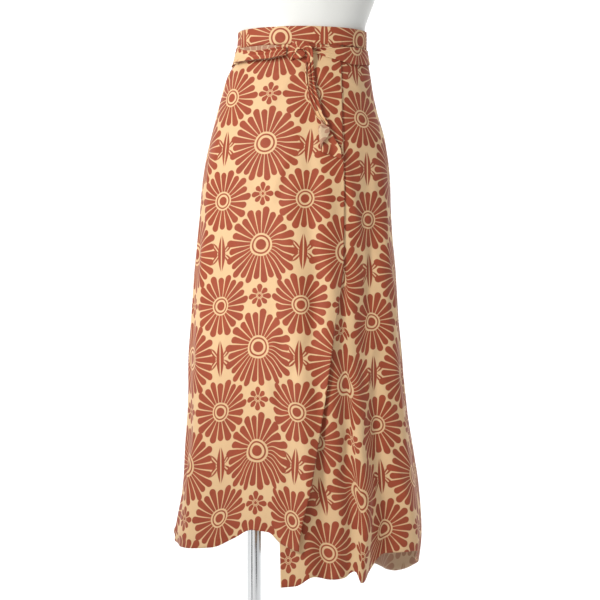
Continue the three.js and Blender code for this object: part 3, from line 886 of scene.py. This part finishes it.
def tail_grid(rows=170, columns=44):
    drop = np.linspace(TAIL[0]["drop"], TAIL[-1]["drop"], rows)[:, None]
    u = np.linspace(0, 1, columns)[None, :]
    wide, flap = read(TAIL, "drop", "wide", drop), read(TAIL, "drop", "flap", drop)
    left = read(TAIL, "drop", "x", drop) - wide / 2
    turned = np.clip(flap - u, 0, 1)
    x = left + wide * np.abs(u - flap) / (1 - 0.5 * flap)
    over = 3.4 * np.minimum(turned / 0.06, 1) * (flap > 0.01)
    gather = 1 - ease(168, 190, drop)
    broad = 1.9 * np.sin(u * 5.0 * math.pi + drop * 0.010)
    fine = 0.8 * np.sin(u * 9.0 * math.pi - drop * 0.02)
    pleat = gather * (broad + fine)
    wave = ease(180, 215, drop) * 1.8 * np.sin(u * 2.2 * math.pi + 0.6)
    slant = ease(186, 232, drop) * (12 * (u - 0.62))
    return skin(angle_at(x, drop), drop + slant, read(TAIL, "drop", "out", drop) + over + pleat + wave)


tail = tail_grid()
tail_flat = flat_map(tail, [17] * len(tail), 0.18, 0.03)
tie_tail = shell("tie_tail_cloth", tail, tail_flat, TIE_THICK, ["tie_tail"])
declare(tie_tail, tail)

# %% [markdown]
# ## The dress form and its stand
# The form is a smooth moulded shell in white, so its sections are joined by the same smooth curves as the
# skirt and shaded smooth. The fittings are turned metal: each is a profile spun round its axis, with small
# rounded edges that catch the light, in a chrome finish.

# %% The form and the stand
FORM = rows_of("rise side front back lean", [
    (-300, 143, 92, 102, -8), (-292, 149, 97, 107, -8), (-200, 151, 99, 108, -8), (-120, 133, 92, 97, -6),
    (-60, 116.5, 85, 86, -2), (-32, 114.3, 84, 84, 0), (0, 114.3, 83.2, 83.2, 0), (62, 128, 97, 92, 5),
    (130, 141, 111, 101, 7), (200, 148, 117, 105, 8), (270, 154, 106, 104, 8), (320, 155, 90, 97, 8),
    (352, 140, 76, 85, 8), (374, 104, 64, 70, 8), (390, 70, 57, 60, 8), (410, 56, 54, 55, 8),
    (440, 54, 54, 54, 8)])


def plain_material(name, colour, rough, metal, coat, wear_scale, wear):
    material = bpy.data.materials.new(name)
    material.use_nodes = True
    tree = material.node_tree
    shader = tree.nodes["Principled BSDF"]
    place = tree.nodes.new("ShaderNodeTexCoord").outputs["Object"]
    drift = tint_drift(tree, place, wear_scale, 0, 1)
    darker = tuple(c * (1 - wear) for c in colour[:3]) + (1,)
    tree.links.new(blend(tree, drift, colour, darker), shader.inputs["Base Color"])
    gloss = tint_drift(tree, place, wear_scale * 5, rough * 0.8, rough * 1.25)
    tree.links.new(gloss, shader.inputs["Roughness"])
    shader.inputs["Metallic"].default_value = metal
    shader.inputs["Coat Weight"].default_value = coat
    shader.inputs["Coat Roughness"].default_value = 0.12
    return material


FORM_WHITE = plain_material("form_white_gloss", srgb(240, 241, 237), 0.34, 0, 0.35, 3, 0.02)
CHROME = plain_material("polished_chrome", srgb(214, 216, 218), 0.11, 1, 0, 6, 0.05)


def smooth_solid(name, points, faces, material, slot, node):
    mesh = bpy.data.meshes.new(name)
    mesh.from_pydata(points, [], faces)
    mesh.polygons.foreach_set("use_smooth", [len(p.vertices) == 4 for p in mesh.polygons])
    mesh.materials.append(material)
    piece = bpy.data.objects.new(name, mesh)
    bpy.context.scene.collection.objects.link(piece)
    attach(piece, "root")
    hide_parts(node)
    return piece


def rings_to_solid(rings):
    """Joins rings of points, lowest first, and closes both ends."""
    around = rings.shape[1]
    faces = []
    for i in range(len(rings) - 1):
        for k in range(around):
            a, b = i * around + k, i * around + (k + 1) % around
            faces.append((a, b, b + around, a + around))
    faces.append(tuple(range(around - 1, -1, -1)))
    faces.append(tuple(range((len(rings) - 1) * around, len(rings) * around)))
    return rings.reshape(-1, 3).tolist(), faces


def form_rings(levels=150, around=128):
    rise = np.linspace(FORM[0]["rise"], FORM[-1]["rise"], levels)[:, None]
    angle = np.linspace(0, 2 * math.pi, around, endpoint=False)[None, :]
    side, front, back, lean = (read(FORM, "rise", c, rise) for c in ("side", "front", "back", "lean"))
    deep = np.where(np.cos(angle) > 0, front, back)
    x = lean + side * np.sin(angle)
    return np.stack([x * MM, -deep * np.cos(angle) * MM, WAIST_TOP + rise * MM + 0 * x], axis=-1)


smooth_solid("form_torso_shell", *rings_to_solid(form_rings()), FORM_WHITE, "form_white", "form_torso")


def turned(name, node, profile, around=96):
    """Spins a profile of radius and height pairs, in millimetres from the node's foot, round its middle."""
    low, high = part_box(node)
    x, y = (low.x + high.x) / 2, (low.y + high.y) / 2
    angle = np.linspace(0, 2 * math.pi, around, endpoint=False)[None, :]
    radius = np.array([p[0] for p in profile])[:, None]
    height = np.array([p[1] for p in profile])[:, None]
    rings = np.stack([x + radius * MM * np.sin(angle), y - radius * MM * np.cos(angle),
                      low.z + height * MM + 0 * angle], axis=-1)
    return smooth_solid(name, *rings_to_solid(rings), CHROME, "chrome", node)


def rounded(radius, high, bevel, steps=6):
    """A plain cylinder's profile with rounded upper and lower edges."""
    arc = [k / steps * math.pi / 2 for k in range(steps + 1)]
    lower = [(radius - bevel + bevel * math.sin(a), bevel - bevel * math.cos(a)) for a in arc]
    upper = [(radius - bevel + bevel * math.cos(a), high - bevel + bevel * math.sin(a)) for a in arc]
    return lower + upper


def node_size(node):
    low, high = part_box(node)
    return (high.x - low.x) / 2 / MM, (high.z - low.z) / MM


for node, bevel in (("stand_pole", 0.4), ("form_socket", 2.0), ("base_plate", 2.5), ("form_neck_cap", 4.0)):
    radius, high = node_size(node)
    turned(node + "_metal", node, rounded(radius, high, bevel))
    print(node, "radius", round(radius, 1), "high", round(high, 1))
